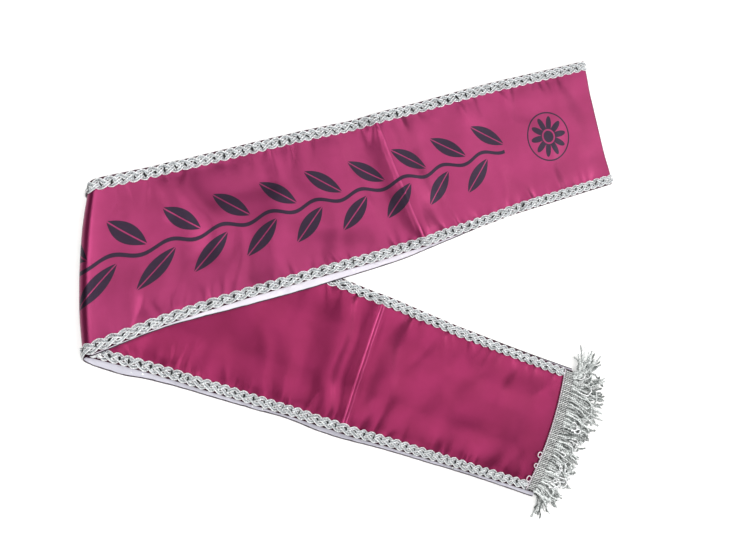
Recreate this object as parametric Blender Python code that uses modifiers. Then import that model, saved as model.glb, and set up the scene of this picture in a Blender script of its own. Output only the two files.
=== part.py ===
"""A pageant sash laid out on a table: a long satin strip with braid along both edges and a fringe on each tail.

The strip has a front and a back panel that meet at the shoulder. It is doubled there, back panel under front
panel with their white sides together, and the doubled strip is folded under once more near its middle. So it
lies as a V: an upper run with the front panel on top, a round turn at the left, and a lower run with the back
panel on top. Every layer is a wall of its own. Lengths are in metres, and +Z is up.
"""

import math
import random
from bisect import bisect_right

import bmesh
import bpy
from mathutils import Vector

MM = 0.001

# Satin strip
PANEL_WIDTH = 99 * MM
WALL = 1.0 * MM
GAP = 0.3 * MM
UPPER_LENGTH = 382 * MM
LOWER_LENGTH = 352 * MM
RUN_ANGLE = math.radians(19.1)

# Left turn: the line where both runs bend over, its outer height and the bulge of its middle
FOLD_X = -184.34 * MM
FOLD_Y = 8.2 * MM
TURN_HEIGHT = 13 * MM
TURN_BOW = 3 * MM
TURN_REACH = 48 * MM
SPLIT_PAST_TURN = 6 * MM

# Shoulder roll, where front and back panel meet
ROLL_RADIUS = 1.4 * MM
ROLL_SETTLE = 18 * MM

# Braid along the edges
BRAID_WIDTH = 7.6 * MM
BRAID_THICK = 1.0 * MM
BRAID_MARGIN = 0.8 * MM
BRAID_BEVEL = 1.1 * MM
SCALLOP_PITCH = 7.6 * MM
SCALLOP_DEPTH = 0.95 * MM

# Fringe on the tails
HEADING_WIDTH = 8 * MM
HEADING_THICK = 1.0 * MM
HEADING_LIP = 2.4 * MM
HEADING_STEPS = 24
SKIRT_LENGTH = 31 * MM
CORNER_START = 0.72
CORNER_FAN = math.radians(57)
CORNER_SHORTER = 0.33
STRAND_RADIUS = 0.52 * MM
STRAND_STOPS = (-0.03, 0.25, 0.62, 1.0)

# How walls climb over what lies under them
PITCH = WALL + GAP
RISE = BRAID_THICK + GAP
RAMP = 7 * MM
OUTER_RAMP_START = 34 * MM
INNER_RAMP_START = 26 * MM
LIFT = WALL / 2 + PITCH + RISE + WALL / 2 + GAP + BRAID_THICK + GAP
LIFT_EDGE = 50 * MM
LIFT_DRAPE = 42 * MM

HALF = PANEL_WIDTH / 2
BRAID_MIDDLE = HALF - BRAID_MARGIN - BRAID_WIDTH / 2
COS, SIN = math.cos(RUN_ANGLE), math.sin(RUN_ANGLE)
UPPER_ALONG, UPPER_ACROSS = Vector((-COS, -SIN)), Vector((-SIN, COS))
LOWER_ALONG, LOWER_ACROSS = Vector((COS, -SIN)), Vector((SIN, COS))
FOLD = Vector((FOLD_X, FOLD_Y))
SHOULDER = FOLD - UPPER_ALONG * UPPER_LENGTH

# Sideways drift of each layer from its run's straight middle: distance along the run, drift of the near edge and
# of the far edge in Y, in mm
DRIFT_COLUMNS = ("along", "near", "far")
FRONT_UPPER_DRIFT = (
    (0, 0.8, -0.6),
    (90, 1.6, 0.2),
    (150, 0.1, -1.2),
    (200, -1.3, -2.3),
    (240, -0.4, -1.2),
    (300, 1.2, -0.8),
    (345, 0.2, -2.0),
    (382, -1.4, -1.2),
)
BACK_UPPER_DRIFT = (
    (0, 0.0, -1.4),
    (90, -0.4, -2.2),
    (140, -5.0, -5.0),
    (190, -7.0, -7.0),
    (225, -6.2, -6.0),
    (265, -5.0, -5.0),
    (300, -3.8, -4.2),
    (382, -2.2, -3.0),
)
BACK_LOWER_DRIFT = (
    (0, -5.0, -5.0),
    (35, -3.4, -3.0),
    (90, -3.2, -2.4),
    (200, -4.2, -1.9),
    (260, -3.8, -2.0),
    (352, -3.0, -1.8),
)
FRONT_LOWER_DRIFT = (
    (0, -9.0, -8.0),
    (25, -7.4, -5.4),
    (60, -6.6, -4.4),
    (120, -3.2, -4.0),
    (165, -5.6, -3.6),
    (215, -5.6, -3.2),
    (260, -4.2, -2.8),
    (352, -5.4, 0.6),
)

# Lean of the sections: distance along the run in mm, shift along it for each unit across it
UPPER_LEAN = ((0, 0.0), (120, 0.05), (190, 0.05), (382, -math.tan(RUN_ANGLE)))
LOWER_LEAN = ((0, -math.tan(RUN_ANGLE)), (150, -0.026), (230, -0.026), (352, -0.07))
TAIL_BOW = 3 * MM

# Folds that stand up from a panel, in mm: distance along the run, lean, half width, height, and the span across
FOLD_COLUMNS = ("along", "lean", "half_width", "height", "near", "far")
FRONT_FOLDS = (
    (175.5, 0.056, 4.5, 2.7, -66, 66),
    (196.0, 0.10, 9.0, 2.0, -60, 66),
    (158.0, 0.02, 7.0, 1.3, -30, 60),
    (118.0, -0.20, 10.0, 1.3, -20, 60),
    (62.0, 0.25, 11.0, 1.5, -60, 30),
    (24.0, 0.15, 9.0, 1.2, -45, 45),
    (235.0, 0.25, 11.0, 1.4, -20, 60),
    (268.0, -0.15, 12.0, 1.6, -60, 25),
    (312.0, 0.30, 11.0, 1.8, -25, 60),
    (340.0, -0.25, 10.0, 1.2, -60, 20),
)
BACK_FOLDS = (
    (183.0, -0.026, 4.5, 2.5, -66, 66),
    (163.0, -0.12, 7.0, 2.0, -60, 42),
    (206.0, -0.18, 10.0, 1.6, -60, 60),
    (240.0, 0.20, 12.0, 1.4, -60, 30),
    (272.0, -0.20, 11.0, 1.3, -25, 60),
    (305.0, 0.15, 12.0, 1.4, -60, 20),
    (128.0, -0.25, 12.0, 1.3, -60, 16),
    (85.0, 0.20, 12.0, 1.2, -60, -10),
)
CROWN = 0.9 * MM
FOLD_END = 17 * MM

# Sections of each wall, in mm along its run, closer at the creases
UPPER_SECTIONS = (18, 31, 45, 62, 78, 96, 112, 126, 138, 149, 157, 163, 168, 172, 175.5, 179, 184, 190, 196, 203)
UPPER_SECTIONS += (212, 223, 236, 251, 264, 277, 290, 303, 315, 326, 337, 347, 356, 365, 374)
BACK_UPPER_SECTIONS = (18, 45, 78, 112, 138, 157, 172, 184, 196) + UPPER_SECTIONS[-15:]
LOWER_SECTIONS = (9, 20, 34, 50, 67, 85, 100, 114, 128, 141, 152, 159, 166, 172, 177, 181, 184, 188, 194, 201)
LOWER_SECTIONS += (209, 220, 232, 245, 258, 272, 286, 300, 313, 324, 330, 336, 343)
FRONT_LOWER_SECTIONS = (20, 40, 65, 90, 120, 150, 180, 210, 240, 270, 300, 322, 330, 336, 344)
TURN_STEPS = 10
ROLL_STEPS = 3
WALL_ACROSS = (-1.0, -0.84, -0.67, -0.35, 0.0, 0.35, 0.67, 0.84, 1.0)

MAGENTA = (0.46, 0.035, 0.15, 1)
SILVER = (0.62, 0.64, 0.64, 1)


def smooth(x):
    """0 below 0, 1 above 1, and a soft step between."""
    x = min(1.0, max(0.0, x))
    return x * x * (3 - 2 * x)


def read(rows, distance, column=1):
    """A column of a table read at a distance, on a smooth curve through its rows."""
    rows = [(row[0], row[column]) for row in rows]
    at = distance / MM
    if at <= rows[0][0]:
        return rows[0][1]
    if at >= rows[-1][0]:
        return rows[-1][1]
    i = next(n for n in range(len(rows) - 1) if rows[n + 1][0] >= at)
    (x0, y0), (x1, y1) = rows[i], rows[i + 1]
    before = rows[max(i - 1, 0)]
    after = rows[min(i + 2, len(rows) - 1)]
    slope0 = (y1 - before[1]) / (x1 - before[0])
    slope1 = (after[1] - y0) / (after[0] - x0)
    u, span = (at - x0) / (x1 - x0), x1 - x0
    return (
        y0 * (1 + 2 * u) * (1 - u) ** 2
        + slope0 * span * u * (1 - u) ** 2
        + y1 * u * u * (3 - 2 * u)
        + slope1 * span * u * u * (u - 1)
    )


def drift(rows, distance, across):
    """Sideways drift of a layer at a point: each edge has its own."""
    near, far = (read(rows, distance, DRIFT_COLUMNS.index(edge)) for edge in ("near", "far"))
    return MM * (near + (far - near) * (across / HALF + 1) / 2)


def bulge(across):
    """How far the middle of the turn stands out from its corners."""
    return TURN_BOW * (1 - (across / HALF) ** 2)


def upper_plan(distance, across, drifts):
    """A point of the upper run seen from above; distance runs from the shoulder to the turn."""
    lean = read(UPPER_LEAN, distance)
    p = SHOULDER + UPPER_ALONG * (distance + lean * across) + UPPER_ACROSS * across
    near_turn = smooth(1 - (UPPER_LENGTH - distance) / TURN_REACH)
    return p.x - bulge(across) * near_turn, p.y + drift(drifts, distance, across)


def lower_plan(distance, across, drifts):
    """A point of the lower run seen from above; distance runs from the turn to the tail."""
    lean = read(LOWER_LEAN, distance)
    end = smooth((distance - LOWER_LENGTH + 60 * MM) / (60 * MM))
    bow = TAIL_BOW * (1 - (across / HALF) ** 2) * end
    p = FOLD + LOWER_ALONG * (distance + bow + lean * across) + LOWER_ACROSS * across
    near_turn = smooth(1 - distance / TURN_REACH)
    return p.x - bulge(across) * near_turn, p.y + drift(drifts, distance, across)


def climb(across, start):
    """How far an edge climbs over the braid under it."""
    return RISE * smooth((abs(across) - start) / RAMP)


def standing_folds(table, distance, across):
    """Height of the raised folds at a point of a panel, and its soft crown."""
    height = CROWN * max(0.0, 1 - (across / OUTER_RAMP_START) ** 2)
    for row in table:
        fold = dict(zip(FOLD_COLUMNS, row))
        off = (distance - fold["along"] * MM - fold["lean"] * across) / (fold["half_width"] * MM)
        inside = smooth((across - fold["near"] * MM) / FOLD_END) * smooth((fold["far"] * MM - across) / FOLD_END)
        height += fold["height"] * MM * inside * math.exp(-off * off)
    return height


def lift(x, y):
    """Height of the bed under the upper run: the lower run where it lies on it, then a drape to the table."""
    beyond = (Vector((x, y)) - FOLD).dot(LOWER_ACROSS) - LIFT_EDGE
    return LIFT * (1 - smooth(beyond / LIFT_DRAPE))


def towards_turn(rest, top, x, across):
    """The height of an upper layer: at rest far from the turn, and rising to its top next to the turn."""
    away = smooth((x - FOLD_X + bulge(across)) / TURN_REACH)
    return top + (rest - top) * away


class Panel:
    """One panel of the sash as a surface: s runs from the shoulder to the tail, across from near to far edge.

    point(s, across) is on the middle of the wall. The face is the satin side, which carries the braid. The wall is
    built through sections at set places, in an upper and a lower stretch that are parted under the turn.
    """

    def __init__(self, is_front, drifts, sections):
        self.is_front = is_front
        self.upper_drift, self.lower_drift = drifts
        self.top = TURN_HEIGHT - WALL / 2 - (0 if is_front else PITCH)
        self.turn_length = math.pi * (self.top - self.floor_height(0, 0)) / 2
        self.roll_length = math.pi / 2 * ROLL_RADIUS
        self.turn_start = self.roll_length + UPPER_LENGTH - ROLL_RADIUS
        self.turn_end = self.turn_start + self.turn_length
        self.tail = self.turn_end + LOWER_LENGTH
        self.split = self.turn_end + SPLIT_PAST_TURN
        places = self.sections(*sections)
        self.upper = [s for s in places if s < self.split - MM] + [self.split - GAP / 2]
        self.lower = [self.split + GAP / 2] + [s for s in places if s > self.split + MM]

    def floor_height(self, distance, across):
        """Height of the lower run's wall."""
        tail = RISE * smooth((distance - (LOWER_LENGTH - (22 if self.is_front else 30) * MM)) / RAMP)
        if self.is_front:
            return WALL / 2 + max(tail, climb(across, OUTER_RAMP_START))
        over = max(tail, climb(across, INNER_RAMP_START))
        ends = smooth(distance / TURN_REACH) * smooth((LOWER_LENGTH - 12 * MM - distance) / (24 * MM))
        return WALL / 2 + PITCH + over + standing_folds(BACK_FOLDS, distance, across) * ends

    def upper_height(self, distance, across, x, y):
        """Height of the upper run's wall."""
        back = WALL / 2 + climb(across, OUTER_RAMP_START)
        if self.is_front:
            folds = standing_folds(FRONT_FOLDS, distance, across)
            from_roll = smooth(distance / ROLL_SETTLE)
            wall = WALL / 2 + PITCH + climb(across, INNER_RAMP_START) + folds
            rest = back + 2 * ROLL_RADIUS + (wall - back - 2 * ROLL_RADIUS) * from_roll
        else:
            rest = back
        return towards_turn(rest + lift(x, y), self.top, x, across)

    def point(self, s, across):
        """A point on the middle of the wall: on the shoulder roll, the upper run, the turn or the lower run."""
        if s < self.roll_length:
            turn = s / ROLL_RADIUS
            x, y = upper_plan(ROLL_RADIUS * (1 - math.cos(turn)), across, self.upper_drift)
            middle = WALL / 2 + climb(across, OUTER_RAMP_START) + ROLL_RADIUS + lift(x, y)
            side = 1 if self.is_front else -1
            return Vector((x, y, middle + side * ROLL_RADIUS * math.sin(turn)))
        if s <= self.turn_start:
            distance = s - self.roll_length + ROLL_RADIUS
            x, y = upper_plan(distance, across, self.upper_drift)
            return Vector((x, y, self.upper_height(distance, across, x, y)))
        if s < self.turn_end:
            share = (s - self.turn_start) / self.turn_length
            x, start_y = upper_plan(UPPER_LENGTH, across, self.upper_drift)
            end_y = lower_plan(0, across, self.lower_drift)[1]
            bottom = self.floor_height(0, across)
            middle, radius = (self.top + bottom) / 2, (self.top - bottom) / 2
            z = middle + radius * math.cos(math.pi * share)
            return Vector((x - radius * math.sin(math.pi * share), start_y + (end_y - start_y) * share, z))
        distance = s - self.turn_end
        x, y = lower_plan(distance, across, self.lower_drift)
        return Vector((x, y, self.floor_height(distance, across)))

    def face_normal(self, s, across):
        """Unit normal on the satin side."""
        step = 0.2 * MM
        s = min(max(s, step), self.tail - step)
        along = self.point(s + step, across) - self.point(s - step, across)
        over = self.point(s, across + step) - self.point(s, across - step)
        normal = over.cross(along) if self.is_front else along.cross(over)
        return normal.normalized()

    def on_face(self, s, across, height):
        """A point this high over the built wall's satin side, and clear of it by the gap."""
        places = self.upper if s < self.split else self.lower
        share = across / HALF
        n = min(max(bisect_right(places, s) - 1, 0), len(places) - 2)
        m = min(max(bisect_right(WALL_ACROSS, share) - 1, 0), len(WALL_ACROSS) - 2)
        u = (s - places[n]) / (places[n + 1] - places[n])
        v = (share - WALL_ACROSS[m]) / (WALL_ACROSS[m + 1] - WALL_ACROSS[m])
        corners = [[self.point(places[n + i], WALL_ACROSS[m + j] * HALF) for j in (0, 1)] for i in (0, 1)]
        start, end = (near.lerp(far, v) for near, far in corners)
        return start.lerp(end, u) + self.face_normal(s, across) * (WALL / 2 + GAP + height)

    def sections(self, upper, lower):
        """All the wall's section places from shoulder to tail, as lengths along it."""
        roll = [GAP] + [self.roll_length * n / ROLL_STEPS for n in range(1, ROLL_STEPS + 1)]
        over = [self.roll_length - ROLL_RADIUS + d * MM for d in upper]
        turn = [self.turn_start + self.turn_length * n / TURN_STEPS for n in range(TURN_STEPS + 1)]
        under = [self.turn_end + d * MM for d in lower]
        return roll + over + turn + under + [self.tail]


def material(name, colour, roughness, metallic):
    """A plain Principled material."""
    made = bpy.data.materials.new(name)
    made.use_nodes = True
    shader = made.node_tree.nodes["Principled BSDF"]
    shader.inputs["Base Color"].default_value = colour
    shader.inputs["Roughness"].default_value = roughness
    shader.inputs["Metallic"].default_value = metallic
    return made


def add_object(name, mesh, finish, collection):
    """An object of this mesh in a collection."""
    made = bpy.data.objects.new(name, mesh)
    made.data.materials.append(finish)
    collection.objects.link(made)
    return made


def grid_mesh(name, rows):
    """An open sheet of quads through rows of points."""
    bm = bmesh.new()
    grid = [[bm.verts.new(p) for p in row] for row in rows]
    for a, b in zip(grid, grid[1:]):
        for n in range(len(a) - 1):
            bm.faces.new((a[n], a[n + 1], b[n + 1], b[n]))
    bmesh.ops.recalc_face_normals(bm, faces=bm.faces)
    mesh = bpy.data.meshes.new(name)
    bm.to_mesh(mesh)
    bm.free()
    mesh.shade_smooth()
    return mesh


def loft_mesh(name, rings):
    """A closed solid through rings of points, with flat ends."""
    bm = bmesh.new()
    loops = [[bm.verts.new(p) for p in ring] for ring in rings]
    count = len(rings[0])
    for a, b in zip(loops, loops[1:]):
        for n in range(count):
            bm.faces.new((a[n], a[(n + 1) % count], b[(n + 1) % count], b[n]))
    bm.faces.new(loops[0])
    bm.faces.new(loops[-1])
    bmesh.ops.recalc_face_normals(bm, faces=bm.faces)
    mesh = bpy.data.meshes.new(name)
    bm.to_mesh(mesh)
    bm.free()
    return mesh


def make_wall(name, panel, places, finish, collection):
    """A stretch of a panel: an open sheet through its sections, thickened to both sides."""
    rows = [[panel.point(s, share * HALF) for share in WALL_ACROSS] for s in places]
    wall = add_object(name, grid_mesh(name, rows), finish, collection)
    thicken = wall.modifiers.new("Wall", "SOLIDIFY")
    thicken.thickness = WALL
    thicken.offset = 0
    thicken.use_even_offset = True
    return wall


def scallop(place):
    """1 on the round of a scallop and 0 in the notch beside it; place counts scallops."""
    return abs(math.sin(math.pi * place))


def braid_ring(panel, s, side, is_scalloped):
    """A section of the braid: two points on the satin and two on top, wider at the scallops."""
    place = s / SCALLOP_PITCH
    inner = scallop(place) if is_scalloped else 1
    outer = scallop(place + 0.5) if is_scalloped else 1
    half = BRAID_WIDTH / 2
    low = side * (BRAID_MIDDLE - half + SCALLOP_DEPTH * (1 - inner))
    high = side * (BRAID_MIDDLE + half - SCALLOP_DEPTH * (1 - outer))
    top = BRAID_THICK * (0.72 + 0.28 * max(inner, outer)) if is_scalloped else BRAID_THICK
    return [
        panel.on_face(s, low, 0.0),
        panel.on_face(s, high, 0.0),
        panel.on_face(s, high - side * BRAID_BEVEL, top),
        panel.on_face(s, low + side * BRAID_BEVEL, top),
    ]


def make_scalloped_braid(name, panel, walls, end, side, finish, collection):
    """A stretch of braid that shows, with scalloped edges: four sections a scallop, moved to the wall's own."""
    step = SCALLOP_PITCH / 4
    first = [s for s in walls if s <= panel.roll_length] or [walls[0]]
    start = first[-1]
    places = {n: n * step for n in range(math.ceil(start / step + 0.25), math.floor(end / step - 0.25) + 1)}
    places |= {round(s / step): s for s in walls if start + step / 2 < s < end - step / 2}
    rings = [braid_ring(panel, s, side, True) for s in (*first, *sorted(places.values()), end)]
    return add_object(name, loft_mesh(name, rings), finish, collection)


def make_plain_braid(name, panel, places, side, finish, collection):
    """A stretch of braid that another layer hides, or that the sash lies on."""
    rings = [braid_ring(panel, s, side, False) for s in places]
    return add_object(name, loft_mesh(name, rings), finish, collection)


def strand_roots(panel, row_heights, strands):
    """Root and share across for each strand; rows stand over each other, half a step apart."""
    roots = []
    for row, height in enumerate(row_heights):
        for n in range(strands):
            share = (2 * (n + 0.5) + (row - 0.5)) / strands - 1
            edge = panel.point(panel.tail, share * (HALF - 2.2 * MM))
            roots.append((Vector((*(edge.xy + LOWER_ALONG * HEADING_LIP), height)), share))
    return roots


def strand_mesh(name, roots, drop, seed):
    """All the strands of a fringe: they sink by the drop towards their tips, and fan out at both corners."""
    generator = random.Random(seed)
    curve = bpy.data.curves.new(name, "CURVE")
    curve.dimensions = "3D"
    curve.bevel_depth = STRAND_RADIUS
    curve.bevel_resolution = 0
    curve.use_fill_caps = True
    for root, share in roots:
        corner = smooth((abs(share) - CORNER_START) / (1 - CORNER_START))
        length = SKIRT_LENGTH * generator.uniform(0.88, 1.06) * (1 - CORNER_SHORTER * corner)
        fan = math.copysign(CORNER_FAN * corner, share) + 0.08 * share + generator.uniform(-0.012, 0.012)
        spline = curve.splines.new("POLY")
        spline.points.add(len(STRAND_STOPS) - 1)
        for point, u in zip(spline.points, STRAND_STOPS):
            angle = fan * (0.3 + 0.7 * u)
            out = LOWER_ALONG * math.cos(angle) + LOWER_ACROSS * math.sin(angle)
            p = root.xy + out * length * u
            point.co = (p.x, p.y, root.z - drop * max(u, 0.0) ** 1.5, 1)
            point.radius = 1.0 - 0.3 * max(u, 0.0)
    strings = bpy.data.objects.new(name, curve)
    bpy.context.scene.collection.objects.link(strings)
    evaluated = strings.evaluated_get(bpy.context.evaluated_depsgraph_get())
    mesh = bpy.data.meshes.new_from_object(evaluated)
    bpy.data.objects.remove(strings)
    bm = bmesh.new()
    bm.from_mesh(mesh)
    bmesh.ops.remove_doubles(bm, verts=bm.verts, dist=0.01 * MM)
    bmesh.ops.recalc_face_normals(bm, faces=bm.faces)
    bm.to_mesh(mesh)
    bm.free()
    return mesh


def make_fringe(name, panel, section, strands, finish, collection, tools):
    """A heading across the tail, with the strands fused into its outer face."""
    rings = []
    for n in range(HEADING_STEPS + 1):
        edge = panel.point(panel.tail, (2 * n / HEADING_STEPS - 1) * (HALF - 0.6 * MM))
        rings.append([Vector((*(edge.xy + LOWER_ALONG * out), z)) for out, z in section])
    heading = add_object(name, loft_mesh(name, rings), finish, collection)
    added = add_object(name + "_strands", strands, finish, tools)
    added.hide_render = True
    added.display_type = "WIRE"
    union = heading.modifiers.new("Strands", "BOOLEAN")
    union.operation = "UNION"
    union.solver = "EXACT"
    union.object = added


def build():
    """The whole sash, from an empty scene."""
    for old in list(bpy.data.objects):
        bpy.data.objects.remove(old)
    sash = bpy.data.collections.new("pageant_sash")
    tools = bpy.data.collections.new("cutters")
    for made in (sash, tools):
        bpy.context.scene.collection.children.link(made)
    satin = material("satin", MAGENTA, 0.35, 0.0)
    braid = material("braid", SILVER, 0.35, 0.7)
    thread = material("fringe", SILVER, 0.45, 0.5)

    front = Panel(True, (FRONT_UPPER_DRIFT, FRONT_LOWER_DRIFT), (UPPER_SECTIONS, FRONT_LOWER_SECTIONS))
    back = Panel(False, (BACK_UPPER_DRIFT, BACK_LOWER_DRIFT), (BACK_UPPER_SECTIONS, LOWER_SECTIONS))

    # Panels
    for panel, name in ((front, "front_panel"), (back, "back_panel")):
        make_wall(name + "_upper", panel, panel.upper, satin, sash)
        make_wall(name + "_lower", panel, panel.lower, satin, sash)

    # Braid: scalloped where it shows, plain under the layers that hide it
    for side, edge in ((1, "far"), (-1, "near")):
        end = front.upper[-1]
        make_scalloped_braid(f"front_braid_{edge}_upper", front, front.upper, end, side, braid, sash)
        end = back.tail - HEADING_WIDTH - 2 * GAP
        make_scalloped_braid(f"back_braid_{edge}_lower", back, back.lower, end, side, braid, sash)
        end = front.tail - HEADING_WIDTH - 2 * GAP
        places = [s for s in front.lower if s < end - MM] + [end]
        make_plain_braid(f"front_braid_{edge}_lower", front, places, side, braid, sash)
        make_plain_braid(f"back_braid_{edge}_upper", back, back.upper, side, braid, sash)

    # Fringes: a heading's section is rows of the distance past the tail's cut end, and the height over the table
    top = back.floor_height(LOWER_LENGTH, HALF) + WALL / 2 + GAP
    section = (
        (-HEADING_WIDTH, top),
        (HEADING_LIP, top),
        (HEADING_LIP, top + 2.4 * MM),
        (-1.5 * MM, top + 1.5 * MM),
        (-HEADING_WIDTH, top + HEADING_THICK),
    )
    roots = strand_roots(back, (top + 0.65 * MM, top + 1.75 * MM), 42)
    strands = strand_mesh("back_strands", roots, 0.9 * MM, 11)
    make_fringe("back_fringe", back, section, strands, thread, sash, tools)
    section = (
        (-HEADING_WIDTH, 0.0),
        (HEADING_LIP, 0.0),
        (HEADING_LIP, 2.2 * MM),
        (2 * GAP, 2.2 * MM),
        (2 * GAP, HEADING_THICK),
        (-HEADING_WIDTH, HEADING_THICK),
    )
    roots = strand_roots(front, (0.68 * MM, 1.62 * MM), 24)
    strands = strand_mesh("front_strands", roots, 0.1 * MM, 23)
    make_fringe("front_fringe", front, section, strands, thread, sash, tools)


build()
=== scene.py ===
"""The looks of the pageant sash: cloth with its creases, plaited braid, fringe, materials, light and camera.

The surfaces repeat the part's own form, in metres, with +Z up. Edges and creases follow the photograph a
little more closely than the solids do. Each panel is one thin sheet from the shoulder to its tail. Small
creases stand on that form, and braid and fringe follow them.
"""

import math

import bpy
import numpy as np
from mathutils import Matrix, Vector


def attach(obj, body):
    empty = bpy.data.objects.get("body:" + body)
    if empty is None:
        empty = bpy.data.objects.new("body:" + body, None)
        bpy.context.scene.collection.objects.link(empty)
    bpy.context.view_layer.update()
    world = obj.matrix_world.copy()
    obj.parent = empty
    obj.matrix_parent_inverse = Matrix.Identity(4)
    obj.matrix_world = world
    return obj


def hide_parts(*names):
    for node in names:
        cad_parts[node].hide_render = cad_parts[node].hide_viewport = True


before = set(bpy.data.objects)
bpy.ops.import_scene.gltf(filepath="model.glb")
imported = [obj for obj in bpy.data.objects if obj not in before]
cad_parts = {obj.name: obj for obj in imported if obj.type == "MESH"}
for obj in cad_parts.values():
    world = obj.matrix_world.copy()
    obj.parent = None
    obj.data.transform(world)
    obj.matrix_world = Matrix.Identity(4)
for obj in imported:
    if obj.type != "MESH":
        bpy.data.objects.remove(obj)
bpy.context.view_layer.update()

MM = 0.001

# Strip, turn and fringe: mostly the part's own sizes
PANEL_WIDTH = 99 * MM
WALL = 1.0 * MM
GAP = 0.3 * MM
UPPER_LENGTH = 382 * MM
LOWER_LENGTH = 352 * MM
RUN_ANGLE = math.radians(19.1)
FOLD_X = -184.34 * MM
FOLD_Y = 8.2 * MM
TURN_HEIGHT = 13 * MM
TURN_BOW = 3 * MM
TURN_REACH = 48 * MM
SPLIT_PAST_TURN = 6 * MM
ROLL_RADIUS = 1.4 * MM
ROLL_SETTLE = 18 * MM
BRAID_THICK = 1.0 * MM
HEADING_WIDTH = 8 * MM
SKIRT_LENGTH = 31 * MM
CORNER_START = 0.72
CORNER_FAN = math.radians(57)
CORNER_SHORTER = 0.12
PITCH = WALL + GAP
RISE = BRAID_THICK + GAP
TAIL_RAMP = 20 * MM
CLIMB_REACH = 22 * MM
OUTER_CLIMB_START = 22 * MM
INNER_CLIMB_START = 17 * MM
CROWN_HALF = 40 * MM
LIFT = WALL / 2 + PITCH + RISE + WALL / 2 + GAP + BRAID_THICK + GAP
LIFT_EDGE = 50 * MM
LIFT_DRAPE = 42 * MM
HALF = PANEL_WIDTH / 2
COS, SIN = math.cos(RUN_ANGLE), math.sin(RUN_ANGLE)
UPPER_ALONG, UPPER_ACROSS = np.array((-COS, -SIN)), np.array((-SIN, COS))
LOWER_ALONG, LOWER_ACROSS = np.array((COS, -SIN)), np.array((SIN, COS))
FOLD = np.array((FOLD_X, FOLD_Y))
SHOULDER = FOLD - UPPER_ALONG * UPPER_LENGTH
CROWN = 0.9 * MM
WANDER_REACH = 9 * MM
FOLD_END = 17 * MM
TAIL_BOW = 5 * MM
TAIL_BOW_REACH = 60 * MM
FRONT_RAMP_START = 28 * MM
BACK_RAMP_START = 32 * MM
STANDING_END = 12 * MM
STANDING_FADE = 24 * MM
TAIL_INSET = 0.6 * MM

# Drift of each layer, in mm: distance along the run, drift of the near edge and of the far edge in Y
FRONT_UPPER_DRIFT = (
    (0, 0.8, -0.6),
    (90, 1.0, 0.2),
    (120, -0.3, -0.5),
    (150, -0.8, -1.2),
    (200, -1.2, -2.3),
    (240, 0.7, -1.2),
    (300, 2.5, -0.8),
    (345, 2.0, -1.2),
    (382, -0.8, -0.6),
)
BACK_UPPER_DRIFT = (
    (0, 0.0, -1.4),
    (95, 0.6, -2.4),
    (117, 0.1, -3.6),
    (132, -1.3, -4.5),
    (150, -2.7, -5.5),
    (170, -4.5, -6.4),
    (190, -5.8, -7.0),
    (225, -5.2, -6.0),
    (265, -4.2, -5.0),
    (300, -2.2, -4.2),
    (345, 0.4, -3.4),
    (382, -2.2, -3.0),
)
BACK_LOWER_DRIFT = (
    (0, -5.0, -5.0),
    (35, -3.4, -3.0),
    (90, -2.9, -2.4),
    (140, -2.6, -2.2),
    (200, -2.7, -2.2),
    (260, -2.2, -3.2),
    (352, -2.0, -2.4),
)
FRONT_LOWER_DRIFT = (
    (0, -9.8, -8.0),
    (20, -9.8, -5.7),
    (35, -8.0, -5.0),
    (60, -6.7, -4.4),
    (118, -5.8, -4.0),
    (143, -4.9, -3.8),
    (167, -6.8, -3.6),
    (187, -7.0, -3.4),
    (215, -5.6, -3.2),
    (260, -5.0, -2.8),
    (304, -4.8, -2.2),
    (352, -5.9, -0.8),
)

# Lean of the sections: distance along the run in mm, shift along it for each unit across it
UPPER_LEAN = ((0, 0.0), (120, 0.05), (190, 0.05), (382, -math.tan(RUN_ANGLE)))
LOWER_LEAN = ((0, -math.tan(RUN_ANGLE)), (150, -0.026), (230, -0.026), (352, -0.01))

# Folds of the panels that show, in mm: distance along the run, lean, wander, half width before and after the
# crest, height, and the span across. A negative height is a trough.
FOLD_COLUMNS = ("along", "lean", "wander", "before", "after", "height", "near", "far")
FRONT_FOLDS = (
    (172.3, 0.056, 0.0, 14.0, 12.5, 4.6, -66, 66),
    (176.2, 0.056, 0.0, 0.6, 1.9, 0.80, -66, 66),
    (207.0, 0.16, 1.5, 7.5, 22.0, 2.2, -60, 66),
    (158.0, 0.02, 2.0, 7.0, 6.0, 0.7, -30, 60),
    (150.0, 0.10, 1.0, 3.0, 3.0, 0.4, -60, 10),
    (118.0, -0.20, 2.0, 12.0, 9.0, 0.8, -20, 60),
    (100.0, 0.22, 2.0, 5.0, 4.0, 0.4, -60, 0),
    (80.0, -0.30, 1.5, 4.0, 6.0, 0.5, 5, 60),
    (62.0, 0.25, 3.0, 13.0, 10.0, 0.8, -60, 30),
    (42.0, -0.25, 2.0, 4.5, 4.0, 0.4, -60, 20),
    (24.0, 0.15, 1.5, 12.0, 9.0, 0.6, -45, 45),
    (232.0, 0.25, 2.0, 8.0, 12.0, 1.0, -20, 60),
    (226.0, -0.22, 2.0, 4.0, 6.0, 0.6, -60, 0),
    (252.0, 0.35, 2.0, 4.0, 6.0, 0.5, -10, 60),
    (268.0, -0.15, 3.0, 9.0, 13.0, 1.6, -60, 25),
    (290.0, -0.30, 2.0, 4.0, 6.0, 0.6, -60, 5),
    (312.0, 0.30, 3.0, 8.0, 12.0, 1.8, -25, 60),
    (328.0, 0.35, 1.0, 4.0, 5.0, 0.6, 0, 60),
    (340.0, -0.25, 3.0, 8.0, 11.0, 1.2, -60, 20),
    (358.0, 0.10, 1.5, 4.0, 6.0, 0.7, -60, 60),
)
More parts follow.
